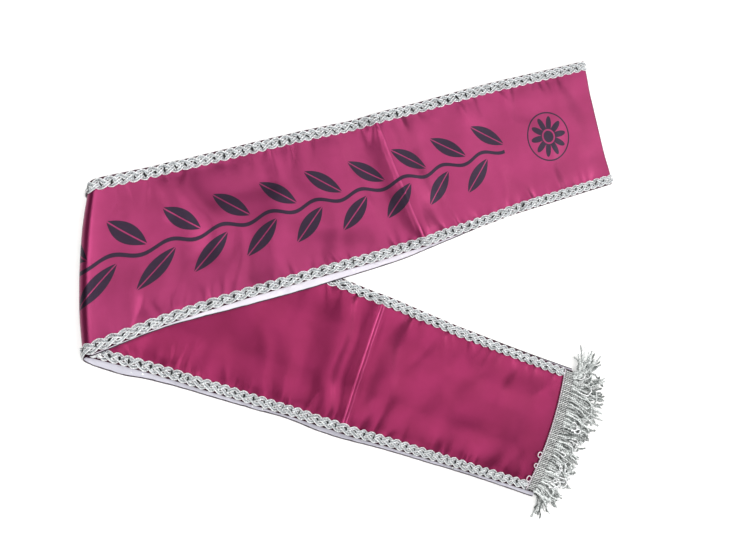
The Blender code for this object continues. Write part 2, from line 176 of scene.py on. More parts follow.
BACK_FOLDS = (
    (188.5, -0.026, 0.0, 12.5, 11.0, 4.2, -66, 66),
    (182.4, -0.026, 0.0, 0.5, 1.1, 0.45, -66, 66),
    (184.3, -0.026, 0.0, 0.5, 1.1, 0.45, -66, 66),
    (163.0, -0.11, 1.9, 13.0, 5.5, 2.6, -66, 58),
    (150.0, 0.10, 2.0, 5.0, 4.0, 0.25, -60, 10),
    (204.0, -0.14, 2.5, 9.0, 6.5, 1.5, -60, 60),
    (218.0, 0.25, 2.0, 4.0, 5.0, 0.5, 0, 60),
    (240.0, 0.20, 3.0, 12.0, 15.0, 0.6, -60, 30),
    (255.0, -0.20, 2.0, 4.5, 5.5, 0.4, -60, 10),
    (272.0, -0.20, 3.0, 12.0, 14.0, 0.7, -25, 60),
    (290.0, 0.25, 1.5, 4.0, 5.0, 0.5, 0, 60),
    (305.0, 0.15, 3.0, 12.0, 15.0, 0.6, -60, 20),
    (128.0, -0.25, 3.0, 16.0, 11.0, 0.6, -60, 16),
    (136.0, 0.18, 2.0, 5.0, 6.0, 0.3, -60, 0),
    (110.0, -0.25, 2.0, 6.0, 5.0, 0.4, -60, 5),
    (85.0, 0.20, 2.0, 12.0, 9.0, 0.9, -60, -10),
)

# Painted highlights along the crests of the main creases, in mm: distance along the run, lean, half width,
# and the share of their own colour
FRONT_CREASE_HIGHLIGHTS = ((176.2, 0.056, 1.3, 0.6),)
BACK_CREASE_HIGHLIGHTS = ((182.2, -0.026, 0.6, 0.7), (184.3, -0.026, 0.6, 0.7))

# Stretch of each panel's run with the main crease, where the cloth's grid is finer
SHARP_CREASE = {"front": (168 * MM, 181 * MM), "back": (177 * MM, 190 * MM)}

# Cloth sheet
CLOTH_THICK = 0.45 * MM
CLOTH_CELL = 1.25 * MM
CREASE_CELL = 0.55 * MM
HIDDEN_CELL = 3.0 * MM
TURN_CELL = 0.9 * MM
ROLL_CELL = 0.5 * MM
ROLL_MARGIN = 4 * MM
SEAM_OVERLAP = 0.3 * MM
TROUGH_LIMIT = 0.6 * MM
TABLE_CLEARANCE = 0.02 * MM
NORMAL_STEP = 0.4 * MM

# Where the small creases fade out: before and after the turn, and before the tail
RELIEF_BEFORE_TURN = 20 * MM
RELIEF_AFTER_TURN = 25 * MM
RELIEF_END = 9 * MM
RELIEF_TAIL = 14 * MM

# Puckers along the braid's inner edges
PUCKER_SPACING = (2.2 * MM, 6.0 * MM)
PUCKER_REACH = (3.5 * MM, 17.0 * MM)
PUCKER_HALF_WIDTH = (1.0 * MM, 2.5 * MM)
PUCKER_HEIGHT = (-0.9 * MM, 1.0 * MM)
PUCKER_LEAN = 0.45

# Soft waves of the satin, and how their crests bend: size, length along and length across
WAVE_LENGTH = (16 * MM, 60 * MM)
WAVE_SLOPE = 0.008
WAVE_COUNT = 16
WAVE_BEND = (9 * MM, 23 * MM, 17 * MM)
WAVE_SLIP = (8 * MM, 31 * MM, 13 * MM)

# Plaited braid: three strands of fine cords, plain where it is hidden
LOBE_PITCH = 7.0 * MM
PLAIT_PERIOD = 3 * LOBE_PITCH
PLAIT_SWING = 2.50 * MM
PLAIT_POINT = 0.10
PLAIT_CORDS = 4
CORD_SPACING = 0.60 * MM
CORD_RADIUS = 0.36 * MM
CORD_STEPS = 28
CORD_SIDES = 6
CORD_TWIST = 1.9 * MM
PLAIT_RISE = 0.55 * MM
BRAID_BASE = 0.80 * MM
BRAID_MIDDLE = HALF - 3.8 * MM
HIDDEN_RADIUS = 1.25 * MM
HIDDEN_STEPS = 14
HIDDEN_SIDES = 8
HIDDEN_FLAT = 0.34
PLY_MIDDLE = 0.80
PLY_DEPTH = 0.28

# Painted shade in the braid's openings, a dark tube in each inner lobe: place in the lobe along and across,
# height and sizes
SLIT_PLACE = 2.6 * MM
SLIT_OFF = -0.55 * MM
SLIT_HEIGHT = 0.95 * MM
SLIT_LENGTH = (2.0 * MM, 3.8 * MM)
SLIT_RADIUS = (0.34 * MM, 0.86 * MM)
SLIT_STEPS = 7

# Fringe: a heading of side-by-side cords with stitches across, and a skirt of loose cords, which leans to the
# near side. Neighbours hang together in clumps, and a share of the cords curls.
HEADING_CORDS = 72
STRAND_RADIUS = 0.92 * MM
HEADING_RADIUS = 0.54 * MM
SKIRT_LEAN = -0.13
STRAND_SIDES = 8
STRAND_RINGS = 30
CORD_SPREAD = 0.985
STRAND_TWIST = 5.0 * MM
CURL_SHARE = 0.30
CLUMP_CORDS = 3
CLUMP_LEAN = 0.24
CLUMP_REACH = (0.84, 1.14)
TOP_CURLS = 15
STITCH_RADIUS = 0.17 * MM
STITCH_ROWS = (-6.6 * MM, -4.1 * MM, -1.5 * MM)
EDGE_COIL = 0.46 * MM
COIL_RADIUS = 0.31 * MM
LOOP_RADIUS = 0.38 * MM
FRIZZ_COUNT = 110
FRIZZ_RADIUS = 0.11 * MM

# How far the skirt reaches for its length: place across in mm, share of the length
SKIRT_REACH = ((-49.5, 0.98), (-30, 0.94), (-8, 0.96), (15, 1.08), (36, 1.26), (49.5, 1.14))

# Finishes of the braid and of the fringe, in the order of their materials
BRAID_FINISHES = ("gimp_rim_highlight", "gimp_inner", "gap_shade")
FRINGE_FINISHES = (
    "fringe_thread",
    "stitch_thread",
    "gap_shade",
    "gimp_rim_highlight",
    "fringe_shade",
    "heading_thread",
)
RIM, INNER, HOLE_SHADE = range(3)
PLAIN, STITCH, BED_SHADE, BRIGHT, SHADED, WOVEN = range(6)

# Layers of loose cords, in mm: cords, height of their roots and tips over the fringe's bed, how much shorter
# than the skirt they are, radius and finish
LAYER_COLUMNS = ("cords", "root", "tip", "shorter", "radius", "finish")
BACK_LAYERS = (
    (50, -0.3, -3.0, 0, 0.85, SHADED),
    (46, 0.2, -1.9, 1, 0.80, PLAIN),
    (42, 0.6, -0.2, 2, 0.92, PLAIN),
)
FRONT_LAYERS = ((36, 0.6, 0.5, 0, 0.75, PLAIN), (36, 0.9, 0.7, 2, 0.75, SHADED))

# Extra cords of the tufts at the back fringe's corners: side, count, least and most turn off the run in
# degrees, least and most length in mm
TUFT_COLUMNS = ("side", "count", "least_turn", "most_turn", "shortest", "longest")
TUFTS = ((1, 16, 40, 110, 16, 31), (-1, 13, 12, 66, 15, 26))

# Loose loops of thread at the heading's inner edge: share across, radius in mm
LOOSE_LOOPS = ((-0.42, 2.0), (-0.60, 1.6), (-0.83, 2.2))

# Printed ornament, from the shoulder: leaves in two rows along a swaying stem, and a rosette in a ring
LEAF_PERIOD = 33 * MM
LEAF_LEAN = math.radians(40)
LEAF_OUT = 13 * MM
LEAF_LENGTH = 15.5 * MM
LEAF_WIDTH = 5.6 * MM
STEM_SWAY = 2.2 * MM
STEM_START = 88 * MM
STEM_END = 412.5 * MM
LEAF_ROW_COLUMNS = ("shift", "side", "first", "last")
LEAF_ROWS = ((0, 1, 82.5 * MM, STEM_END), (LEAF_PERIOD / 2, -1, 99 * MM, 396 * MM))
ROSETTE_PLACE = 48 * MM
PETALS = 10
PETAL_ROOT = 6.5 * MM
PETAL_LENGTH = 9.5 * MM
EYE_RADIUS = 5.2 * MM
RING_RADIUS = 18.5 * MM

# Colours of the satin and its back: print, a painted highlight on the crease crests, painted shade on the
# edges under the braid and painted shadow on the hems
PRINT_COLOUR = (0.020, 0.010, 0.025)
CREASE_HIGHLIGHT_COLOUR = (0.42, 0.055, 0.17)
BRAID_EDGE_SHADE_COLOUR = (0.030, 0.004, 0.014)
SHADOWED_HEM_COLOUR = (0.030, 0.018, 0.030)

# Metal threads: name, deep and bright colour, metallic, roughness, winding in mm, share of a cord's own tone
THREADS = (
    # The near-white rim thread is a painted highlight: on the braid's lobes and on the curls atop the fringe
    ("gimp_rim_highlight", (0.76, 0.79, 0.81), (1.0, 1.0, 1.0), 0.55, 0.30, 0.9, 0.45),
    ("gimp_inner", (0.16, 0.19, 0.20), (0.90, 0.94, 0.97), 0.70, 0.27, 0.9, 0.45),
    # The near-black thread is painted shade: in the braid's openings and under the heading's cords
    ("gap_shade", (0.003, 0.003, 0.004), (0.020, 0.020, 0.024), 0.0, 0.80, 0.9, 0.45),
    # The fringe thread's near-black tones are partly random tone, partly painted shade between the cords
    ("fringe_thread", (0.025, 0.029, 0.029), (0.81, 0.85, 0.84), 0.30, 0.36, 2.1, 0.6),
    ("fringe_shade", (0.015, 0.018, 0.017), (0.32, 0.35, 0.34), 0.30, 0.42, 2.1, 0.6),
    ("heading_thread", (0.20, 0.21, 0.21), (0.92, 0.94, 0.93), 0.30, 0.36, 2.1, 0.5),
    ("stitch_thread", (0.78, 0.72, 0.77), (1.0, 0.95, 0.99), 0.10, 0.40, 0.8, 0.45),
)

# Lamps: name, place, point that they look at, size and power
LAMPS = (
    ("key", (0.49, 0.10, 1.0), (0.12, 0.02, 0), 1.14, 12.0),
    ("side", (1.12, 0.10, 0.76), (0.1, 0.0, 0), 0.36, 2.7),
    ("glint", (1.35, 0.05, 0.72), (0.05, 0.0, 0), 0.30, 3.4),
    ("left", (-0.32, 0.03, 0.50), (-0.16, 0.02, 0), 0.32, 1.8),
)
LAMP_COLOUR = (1.0, 0.99, 0.98)

# Light of the room: strong from its walls, weak from its ceiling and its left side
WALL_LIGHT = 0.80
CEILING_LIGHT = 0.12
LEFT_SHARE = 0.25
FLOOR_GLOW = 0.40
FLOOR_REACH = 6.0

# Camera, set where the photo was taken
CAMERA_PLACE = (-0.15434, 0.0147, 0.4224)
CAMERA_RIGHT = (0.94619938, 0.0396575, 0.32114486)
CAMERA_UP = (-0.03276028, 0.9991024, -0.0268544)
CAMERA_BACK = (-0.32192158, 0.01488882, 0.94664926)
CAMERA_LENS = 31.38


def smooth(x):
    """0 below 0, 1 above 1, and a soft step between."""
    x = np.clip(x, 0.0, 1.0)
    return x * x * (3 - 2 * x)


def read(rows, distance, column=1):
    """A column of a table read at distances, on a smooth curve through its rows."""
    at = np.asarray(distance) / MM
    xs = np.array([row[0] for row in rows], float)
    ys = np.array([row[column] for row in rows], float)
    i = np.clip(np.searchsorted(xs, at) - 1, 0, len(xs) - 2)
    before, after = np.maximum(i - 1, 0), np.minimum(i + 2, len(xs) - 1)
    slope0 = (ys[i + 1] - ys[before]) / (xs[i + 1] - xs[before])
    slope1 = (ys[after] - ys[i]) / (xs[after] - xs[i])
    span = xs[i + 1] - xs[i]
    u = np.clip((at - xs[i]) / span, 0.0, 1.0)
    return (
        ys[i] * (1 + 2 * u) * (1 - u) ** 2
        + slope0 * span * u * (1 - u) ** 2
        + ys[i + 1] * u * u * (3 - 2 * u)
        + slope1 * span * u * u * (u - 1)
    )


def drift(rows, distance, across):
    """Sideways drift of a layer at points: each edge has its own."""
    near, far = read(rows, distance, 1), read(rows, distance, 2)
    return MM * (near + (far - near) * (across / HALF + 1) / 2)


def bulge(across):
    """How far the middle of the turn stands out from its corners."""
    return TURN_BOW * (1 - (across / HALF) ** 2)


def plan(origin, along, over, distance, across):
    """Points on a run seen from above."""
    return (origin[n] + along[n] * distance + over[n] * across for n in (0, 1))


def upper_plan(distance, across, drifts):
    """Points of the upper run seen from above; distance runs from the shoulder to the turn."""
    leaning = distance + read(UPPER_LEAN, distance) * across
    x, y = plan(SHOULDER, UPPER_ALONG, UPPER_ACROSS, leaning, across)
    near_turn = smooth(1 - (UPPER_LENGTH - distance) / TURN_REACH)
    return x - bulge(across) * near_turn, y + drift(drifts, distance, across)


def lower_plan(distance, across, drifts):
    """Points of the lower run seen from above; distance runs from the turn to the tail."""
    end = smooth((distance - LOWER_LENGTH + TAIL_BOW_REACH) / TAIL_BOW_REACH)
    bow = TAIL_BOW * (1 - (across / HALF) ** 2) * end
    leaning = distance + bow + read(LOWER_LEAN, distance) * across
    x, y = plan(FOLD, LOWER_ALONG, LOWER_ACROSS, leaning, across)
    near_turn = smooth(1 - distance / TURN_REACH)
    return x - bulge(across) * near_turn, y + drift(drifts, distance, across)


def climb(across, start):
    """How far an edge climbs over the braid under it."""
    return RISE * smooth((np.abs(across) - start) / CLIMB_REACH)


def folds(table, distance, across):
    """Height of a table's folds at points of a panel."""
    height = 0.0
    for row in table:
        fold = dict(zip(FOLD_COLUMNS, row))
        wander = fold["wander"] * MM * np.sin(across / WANDER_REACH + fold["along"])
        off = distance - fold["along"] * MM - fold["lean"] * across - wander
        off = off / (np.where(off < 0, fold["before"], fold["after"]) * MM)
        inside = smooth((across - fold["near"] * MM) / FOLD_END)
        inside = inside * smooth((fold["far"] * MM - across) / FOLD_END)
        height = height + fold["height"] * MM * inside * np.exp(-off * off)
    return height


def crown(across):
    """Soft height of a panel's middle."""
    return CROWN * np.maximum(0.0, 1 - (across / CROWN_HALF) ** 2)


def lift(x, y):
    """Height of the bed under the upper run: the lower run where it lies on it, then a drape to the table."""
    beyond = (x - FOLD[0]) * LOWER_ACROSS[0] + (y - FOLD[1]) * LOWER_ACROSS[1] - LIFT_EDGE
    return LIFT * (1 - smooth(beyond / LIFT_DRAPE))


def unit(vectors):
    """Vectors of length one."""
    return vectors / np.linalg.norm(vectors, axis=-1, keepdims=True)


class Puckers:
    """Short creases that run in from the braid on both edges of a run, uneven in place, length and height."""

    def __init__(self, length, seed):
        generator = np.random.default_rng(seed)
        self.rows = []
        for side in (-1, 1):
            along = generator.uniform(0, PUCKER_SPACING[1])
            while along < length:
                ranges = ((-PUCKER_LEAN, PUCKER_LEAN), PUCKER_HALF_WIDTH, PUCKER_REACH, PUCKER_HEIGHT)
                self.rows.append((side, along, *(generator.uniform(*span) for span in ranges)))
                along += generator.uniform(*PUCKER_SPACING)

    def height(self, distance, across):
        """Their height at points of the run."""
        total = np.zeros(np.shape(distance + across))
        for side, along, lean, half_width, reach, height in self.rows:
            inward = BRAID_MIDDLE - side * across
            wide = half_width * (1 + 0.9 * np.clip(inward / reach, 0, 2))
            off = (distance - along - lean * inward) / wide
            fade = np.exp(-np.clip(inward / reach, 0, 9) ** 2) * (1 - 0.4 * smooth(-inward / (5 * MM)))
            total += height * fade * np.exp(-off * off)
        return total


class Waves:
    """Long soft waves all over a panel, without a clear direction."""

    def __init__(self, seed):
        generator = np.random.default_rng(seed)
        self.rows = []
        for _ in range(WAVE_COUNT):
            length = generator.uniform(*WAVE_LENGTH)
            angle = generator.normal(0.0, 0.7)
            self.rows.append((length, math.cos(angle), math.sin(angle), generator.uniform(0, 2 * math.pi)))
        self.warp = generator.uniform(0, 2 * math.pi, 4)

    def bent(self, sizes, turns, distance, across):
        """How far the crests are moved at points of the panel."""
        size, along, over = sizes
        return size * np.sin(distance / along + turns[0]) * np.sin(across / over + turns[1])

    def height(self, distance, across):
        """Their height at points of the panel."""
        total = np.zeros(np.shape(distance + across))
        bend = distance + self.bent(WAVE_BEND, self.warp[:2], distance, across)
        slip = across + self.bent(WAVE_SLIP, self.warp[2:], distance, across)
        for length, along, over, phase in self.rows:
            turn = 2 * math.pi / length
            total += WAVE_SLOPE / turn * np.sin(turn * (along * bend + over * slip) + phase)
        return total


class Panel:
    """One panel of the sash as a surface: s runs from the shoulder to the tail, across from near to far edge.

    The face is the satin side, which carries the braid. The front panel shows on the upper run, and the back
    panel on the lower run.
    """

    def __init__(self, is_front, drifts, seed):
        self.is_front = is_front
        self.upper_drift, self.lower_drift = drifts
        self.top = TURN_HEIGHT - WALL / 2 - (0 if is_front else PITCH)
        self.turn_length = math.pi * (self.top - float(self.floor_height(0.0, 0.0))) / 2
        self.roll_length = math.pi / 2 * ROLL_RADIUS
        self.turn_start = self.roll_length + UPPER_LENGTH - ROLL_RADIUS
        self.turn_end = self.turn_start + self.turn_length
        self.tail = self.turn_end + LOWER_LENGTH
        self.split = self.turn_end + SPLIT_PAST_TURN
        self.upper_puckers = Puckers(UPPER_LENGTH, seed)
        self.lower_puckers = Puckers(LOWER_LENGTH, seed + 1)
        self.waves = Waves(seed + 2)

    def floor_height(self, distance, across):
        """Height of the lower run's wall."""
        start = LOWER_LENGTH - (FRONT_RAMP_START if self.is_front else BACK_RAMP_START)
        tail = RISE * smooth((distance - start) / TAIL_RAMP)
        if self.is_front:
            return WALL / 2 + np.maximum(tail, climb(across, OUTER_CLIMB_START))
        over = np.maximum(tail, climb(across, INNER_CLIMB_START))
        ends = smooth(distance / TURN_REACH)
        ends = ends * smooth((LOWER_LENGTH - STANDING_END - distance) / STANDING_FADE)
        standing = crown(across) + folds(BACK_FOLDS, distance, across)
        return WALL / 2 + PITCH + over + standing * ends

    def upper_height(self, distance, across, x, y):
        """Height of the upper run's wall."""
        back = WALL / 2 + climb(across, OUTER_CLIMB_START)
        rest = back
        if self.is_front:
            standing = crown(across) + folds(FRONT_FOLDS, distance, across)
            wall = WALL / 2 + PITCH + climb(across, INNER_CLIMB_START) + standing
            rest = back + 2 * ROLL_RADIUS + (wall - back - 2 * ROLL_RADIUS) * smooth(distance / ROLL_SETTLE)
        rest = rest + lift(x, y)
        away = smooth((x - FOLD_X + bulge(across)) / TURN_REACH)
        return self.top + (rest - self.top) * away

    def wall(self, s, across):
        """Points on the middle of the solid's wall."""
        s, across = np.broadcast_arrays(np.asarray(s, float), np.asarray(across, float))
        on_roll, on_turn = s < self.roll_length, (s > self.turn_start) & (s < self.turn_end)
        roll = np.minimum(s, self.roll_length) / ROLL_RADIUS
        distance = np.where(on_roll, ROLL_RADIUS * (1 - np.cos(roll)), s - self.roll_length + ROLL_RADIUS)
        distance = np.clip(distance, 0.0, UPPER_LENGTH)
        upper_x, upper_y = upper_plan(distance, across, self.upper_drift)
        upper_z = self.upper_height(distance, across, upper_x, upper_y)
        middle = WALL / 2 + climb(across, OUTER_CLIMB_START) + ROLL_RADIUS + lift(upper_x, upper_y)
        roll_z = middle + (1 if self.is_front else -1) * ROLL_RADIUS * np.sin(roll)
        upper_z = np.where(on_roll, roll_z, upper_z)

        lower = np.maximum(s - self.turn_end, 0.0)
        lower_x, lower_y = lower_plan(lower, across, self.lower_drift)
        bottom = self.floor_height(lower, across)

        share = np.clip((s - self.turn_start) / self.turn_length, 0.0, 1.0)
        radius = (self.top - bottom) / 2
        turn_x = upper_x - radius * np.sin(math.pi * share)
        turn_y = upper_y + (lower_y - upper_y) * share
        turn_z = (self.top + bottom) / 2 + radius * np.cos(math.pi * share)

        before = s <= self.turn_start
        x = np.where(before, upper_x, np.where(on_turn, turn_x, lower_x))
        y = np.where(before, upper_y, np.where(on_turn, turn_y, lower_y))
        z = np.where(before, upper_z, np.where(on_turn, turn_z, bottom))
        return np.stack((x, y, z), axis=-1)

    def relief(self, s, across):
        """Height of the small creases over the wall, towards the face."""
        upper = s - self.roll_length + ROLL_RADIUS
        lower = s - self.turn_end
        on_upper = smooth(upper / ROLL_SETTLE) * smooth((UPPER_LENGTH - upper) / RELIEF_BEFORE_TURN)
        on_lower = smooth(lower / RELIEF_AFTER_TURN)
        on_lower = on_lower * smooth((LOWER_LENGTH - RELIEF_END - lower) / RELIEF_TAIL)
        upper_height = self.upper_puckers.height(upper, across)
        lower_height = self.lower_puckers.height(lower, across)
        waves = self.waves.height(s, across)
        height = (upper_height + waves) * on_upper + (lower_height + waves) * on_lower
        return np.where(height < 0, TROUGH_LIMIT * np.tanh(height / TROUGH_LIMIT), height)

    def normals(self, points_at, s, across):
        """Unit normals on the satin side of a surface that is given by its function."""
        along = points_at(s + NORMAL_STEP, across) - points_at(s - NORMAL_STEP, across)
        over = points_at(s, across + NORMAL_STEP) - points_at(s, across - NORMAL_STEP)
        turned = np.cross(over, along) if self.is_front else np.cross(along, over)
        return unit(turned)

    def cloth(self, s, across):
        """Points on the middle of the cloth: the wall with its small creases, held over the table."""
        relief = self.relief(s, across)[..., None]
        points = self.wall(s, across) + self.normals(self.wall, s, across) * relief
        points[..., 2] = np.maximum(points[..., 2], CLOTH_THICK / 2 + TABLE_CLEARANCE)
        return points

    def over_face(self, s, across, height):
        """Points at a height over the cloth's middle, and the normals there."""
        s, across = np.broadcast_arrays(np.asarray(s, float), np.asarray(across, float))
        ups = self.normals(self.cloth, s, across)
        return self.cloth(s, across) + ups * np.asarray(height)[..., None], ups

    def places(self):
        """Rows of the cloth's grid, close together where it shows, at its sharp crease and at its bends."""
        first = -SEAM_OVERLAP if self.is_front else SEAM_OVERLAP
        rolled = self.roll_length + ROLL_MARGIN
        roll, turn = (first, rolled, ROLL_CELL), (self.turn_start, self.split, TURN_CELL)
        upper, lower = (rolled, self.turn_start), (self.split, self.tail)
        start, end = upper if self.is_front else lower
        run = self.roll_length - ROLL_RADIUS if self.is_front else self.turn_end
        crease = [run + place for place in SHARP_CREASE["front" if self.is_front else "back"]]
        shown = [(start, crease[0], CLOTH_CELL), (*crease, CREASE_CELL), (crease[1], end, CLOTH_CELL)]
        if self.is_front:
            spans = [roll, *shown, turn, (*lower, HIDDEN_CELL)]
        else:
            spans = [roll, (*upper, HIDDEN_CELL), turn, *shown]
        rows = [np.linspace(a, b, max(2, round((b - a) / cell)), endpoint=False) for a, b, cell in spans]
        return np.append(np.concatenate(rows), self.tail)


class Strips:
    """Gathers strips of quads into one mesh."""

    def __init__(self):
        self.points, self.quads, self.uvs, self.slots = [], [], [], []
        self.count = 0

    def add(self, grid, uv, is_closed=False, is_flipped=False, slot=0):
        """Quads through a grid of points; uv has one column more than a closed grid."""
        rows, columns = grid.shape[:2]
        index = self.count + np.arange(rows * columns).reshape(rows, columns)
        if is_closed:
            index = np.concatenate((index, index[:, :1]), axis=1)
        corners = [(slice(None, -1), slice(None, -1)), (slice(None, -1), slice(1, None))]
        corners += [(slice(1, None), slice(1, None)), (slice(1, None), slice(None, -1))]
        if is_flipped:
            corners.reverse()
        quads = np.stack([index[c] for c in corners], axis=-1).reshape(-1, 4)
        self.points.append(grid.reshape(-1, 3))
        self.quads.append(quads)
        self.uvs.append(np.stack([uv[c] for c in corners], axis=-2).reshape(-1, 2))
        self.slots.append(np.full(len(quads), slot))
        self.count += rows * columns

    def tube(self, points, ups, radii, sides, number=0, flat=1.0, lobes=None, slot=0):
        """A round cord along points; flat squeezes it, and lobes are the turns of its two plies."""
        tangents = unit(np.gradient(points, axis=0))
        across = unit(np.cross(tangents, ups))
        ups = np.cross(across, tangents)
        angles = np.arange(sides) * 2 * math.pi / sides
        reach = np.asarray(radii)[:, None] * np.ones(sides)
        if lobes is not None:
            reach = reach * (PLY_MIDDLE + PLY_DEPTH * np.cos(angles[None, :] * 2 - lobes[:, None]))
        grid = points[:, None] + (np.cos(angles) * reach)[..., None] * across[:, None]
        grid = grid + (np.sin(angles) * reach * flat)[..., None] * ups[:, None]
        grid[..., 2] = np.maximum(grid[..., 2], TABLE_CLEARANCE)
        steps = np.linalg.norm(np.diff(points, axis=0), axis=1)
        along = np.concatenate(([0.0], np.cumsum(steps)))
        around = number + np.arange(sides + 1) / (sides + 1)
        uv = np.stack(np.broadcast_arrays(along[:, None], around[None, :]), axis=-1)
        self.add(grid, uv, is_closed=True, is_flipped=True, slot=slot)

    def thread(self, xy, z, radius, sides, number, slot):
        """A round thread of one radius through points that lie mostly level."""
        ups = np.tile((0.0, 0.0, 1.0), (len(z), 1))
        self.tube(np.column_stack((xy, z)), ups, np.full(len(z), radius), sides, number, slot=slot)

    def piece(self, name, materials, slot, *nodes):
        """The gathered strips as a piece of the sash that stands for some solids."""
        mesh = bpy.data.meshes.new(name)
        mesh.from_pydata(np.concatenate(self.points).tolist(), [], np.concatenate(self.quads).tolist())
        uvs = np.concatenate(self.uvs).astype(np.float32).ravel()
        mesh.uv_layers.new(name="UVMap").data.foreach_set("uv", uvs)
        mesh.polygons.foreach_set("material_index", np.concatenate(self.slots).astype(np.int32))
        mesh.shade_smooth()
        for finish in materials:
            mesh.materials.append(finish)
        made = bpy.data.objects.new(name, mesh)
        bpy.context.scene.collection.objects.link(made)
        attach(made, "root")
        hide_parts(*nodes)
        return made


class Signal:
    """What a node gives at each point of a surface. Sums and products of numbers add the nodes for them."""

    def __init__(self, nodes, socket):
        self.nodes, self.socket = nodes, socket

    def math(self, operation, *others):
        """A number worked out from this one and up to two others."""
        return self.nodes.math(operation, self, *others)

    def __add__(self, other):
        return self.math("ADD", other)

    def __sub__(self, other):
        return self.math("SUBTRACT", other)

    def __rsub__(self, other):
        return self.nodes.math("SUBTRACT", other, self)

    def __mul__(self, other):
        return self.math("MULTIPLY", other)

    def __truediv__(self, other):
        return self.math("DIVIDE", other)

    def __abs__(self):
        return self.math("ABSOLUTE")

    def sine(self, length):
        """The sine of this distance, with one wave to a length."""
        return (self * (2 * math.pi / length)).math("SINE")

    def between(self, low, high, start=0.0, end=1.0, kind="SMOOTHSTEP"):
        """This number moved from the span low to high to the span start to end, and held inside it."""
        node = self.nodes.add("MapRange", interpolation_type=kind)
        return self.nodes.fill(node, self, low, high, start, end)


class Nodes:
    """Short ways to add nodes to a tree."""

    def __init__(self, tree):
        self.tree = tree

    def add(self, kind, **settings):
        """A node with its settings."""
        node = self.tree.nodes.new("ShaderNode" + kind)
        for name, value in settings.items():
            setattr(node, name, value)
        return node

    def put(self, socket, value):
        """What another node gives, or a value, into a socket; a colour's value is red, green and blue."""
        if isinstance(value, Signal):
            self.tree.links.new(value.socket, socket)
        elif socket.type == "RGBA":
            socket.default_value = (*value, 1)
        else:
            socket.default_value = value

    def fill(self, node, *values):
        """What a node gives with these in its first sockets."""
        for socket, value in zip(node.inputs, values):
            self.put(socket, value)
        return Signal(self, node.outputs[0])

    def given(self, kind, output=0, **settings):
        """What a node gives that needs no input."""
        return Signal(self, self.add(kind, **settings).outputs[output])

    def split(self, vector):
        """The three numbers of a vector."""
        node = self.add("SeparateXYZ")
        self.put(node.inputs[0], vector)
        return [Signal(self, output) for output in node.outputs]

    def math(self, operation, *values):
        """A number worked out from one, two or three others."""
        return self.fill(self.add("Math", operation=operation), *values)

    def vector(self, x, y):
        """Two numbers as a vector."""
        return self.fill(self.add("CombineXYZ"), x, y)

    def noise(self, vector, scale, detail=2.0):
        """Cloudy noise from 0 to 1."""
        node = self.add("TexNoise")
        for name, value in (("Vector", vector), ("Scale", scale), ("Detail", detail)):
            self.put(node.inputs[name], value)
        return Signal(self, node.outputs["Fac"])

    def blend(self, share, first, second):
        """One colour turning into another."""
        node = self.add("Mix", data_type="RGBA")
        for place, value in ((0, share), (6, first), (7, second)):
            self.put(node.inputs[place], value)
        return Signal(self, node.outputs[2])

    def bump(self, height, distance, strength, **under):
        """A bump from a height; under is the Normal that it lies on."""
        node = self.add("Bump")
        for name, value in {"Height": height, "Distance": distance, "Strength": strength, **under}.items():
            self.put(node.inputs[name], value)
        return Signal(self, node.outputs[0])


class Finish(Nodes):
    """A material and its shader."""

    def __init__(self, name, **values):
        self.material = bpy.data.materials.new(name)
        self.material.use_nodes = True
        super().__init__(self.material.node_tree)
        self.set(**values)

    def set(self, **values):
        """Values, or what other nodes give, into the shader's sockets."""
        for name, value in values.items():
            self.put(self.tree.nodes["Principled BSDF"].inputs[name.replace("_", " ")], value)

    def uv(self):
        """The two surface coordinates, in metres on cloth."""
        return self.split(self.given("UVMap", uv_map="UVMap"))[:2]


def leaf_mask(across, along, shift, side):
    """1 inside one row of pointed leaves, which stand out on one side of the middle line."""
    place = (along + shift).math("WRAP", LEAF_PERIOD / 2, -LEAF_PERIOD / 2)
    over = across * side - LEAF_OUT
    share = (place * math.cos(LEAF_LEAN) + over * math.sin(LEAF_LEAN)) / LEAF_LENGTH
    off = abs(over * math.cos(LEAF_LEAN) - place * math.sin(LEAF_LEAN))
    inside = ((1.0 - share * share) * LEAF_WIDTH - off).between(0.0, 0.25 * MM)
    vein = off.between(0.25 * MM, 0.5 * MM)
    return inside * vein


def ornament(across, along):
    """1 where the satin is printed: a garland of leaves along the middle, and a rosette near the shoulder."""
    middle = across - HALF
    stem = abs(middle - along.sine(LEAF_PERIOD) * STEM_SWAY)
    garland = stem.between(1.5 * MM, 1.1 * MM) * along.between(STEM_START, STEM_START + 0.5 * MM)
    for numbers in LEAF_ROWS:
        row = dict(zip(LEAF_ROW_COLUMNS, numbers))
        leaves = leaf_mask(middle, along, row["shift"], row["side"])
        leaves = leaves * along.math("GREATER_THAN", row["first"]) * along.math("LESS_THAN", row["last"])
        garland = garland.math("MAXIMUM", leaves)
    garland = garland * along.math("LESS_THAN", STEM_END)

    rise = along - ROSETTE_PLACE
    radius = (middle * middle + rise * rise).math("SQRT")
    petals = abs((middle.math("ARCTAN2", rise) * (PETALS / 2)).math("COSINE"))
    flower = (petals * PETAL_LENGTH + PETAL_ROOT - radius).between(0.0, 0.3 * MM)
    eye = abs(radius - EYE_RADIUS).between(0.5 * MM, 0.8 * MM)
    ring = abs(radius - RING_RADIUS).between(0.7 * MM, 0.4 * MM)
    return garland.math("MAXIMUM", (flower * eye).math("MAXIMUM", ring))


